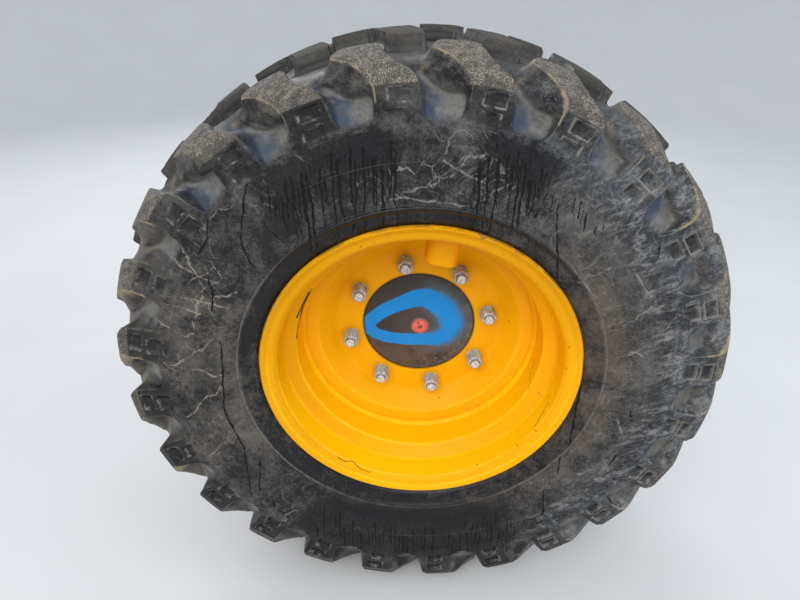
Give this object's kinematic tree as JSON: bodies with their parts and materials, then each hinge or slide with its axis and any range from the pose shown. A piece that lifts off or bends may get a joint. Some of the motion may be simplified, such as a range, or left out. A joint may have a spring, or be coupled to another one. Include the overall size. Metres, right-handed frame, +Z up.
{
  "type": "wheel loader wheel with planetary hub and axle arm",
  "caption": "Loader wheel end: lugged tyre on a one-piece well rim, dished disc on a planetary hub with studs and nuts, turning on a spindle carried by a flanged axle arm.",
  "frame": {"origin": "centre of the axle arm's mounting face, on the axle's axis", "axes": "+Y along the axle's axis, out of the mounting face and into the machine; the wheel stands at -Y; +Z up"},
  "size_m": [1.07, 0.615, 1.0696],
  "materials": {
    "tyre": "worn matt, muddy",
    "rim_paint": "semi-gloss, chipped",
    "axle_paint": "satin, dirty",
    "cover_paint": "satin, with a blue paint mark",
    "red_plug": "gloss",
    "zinc_steel": "zinc plated, grimy",
    "machined_steel": "machined",
    "cast_iron": "as cast",
    "black_rubber": "matt",
    "valve_brass": "dull",
    "black_plastic": "matt"
  },
  "bodies": {
    "axle": {"axle_arm": "axle_paint", "spindle": "machined_steel", "spindle_bolts": "zinc_steel"},
    "wheel": {"tyre": "tyre", "rim_barrel": "rim_paint", "wheel_disc": "rim_paint", "disc_welds": "rim_paint", "valve_guard": "rim_paint", "valve_stem": "valve_brass", "valve_cap": "black_plastic", "hub": "axle_paint", "hub_seal": "black_rubber", "final_drive": "cast_iron", "hub_cover": "cover_paint", "hub_plug": "red_plug", "wheel_studs": "zinc_steel", "wheel_nuts": "zinc_steel"},
    "drive_shaft": {"half_shaft": "machined_steel"}
  },
  "joints": [
    {"name": "wheel_spin", "type": "hinge", "parent": "axle", "child": "wheel", "pos_m": [0, -0.35, 0], "axis": [0, 1, 0], "continuous": true},
    {"name": "shaft_spin", "type": "hinge", "parent": "axle", "child": "drive_shaft", "pos_m": [0, 0, 0], "axis": [0, 1, 0], "continuous": true}
  ],
  "couplings": [
    {"joint": "shaft_spin", "follows": "wheel_spin", "ratio": 6}
  ]
}
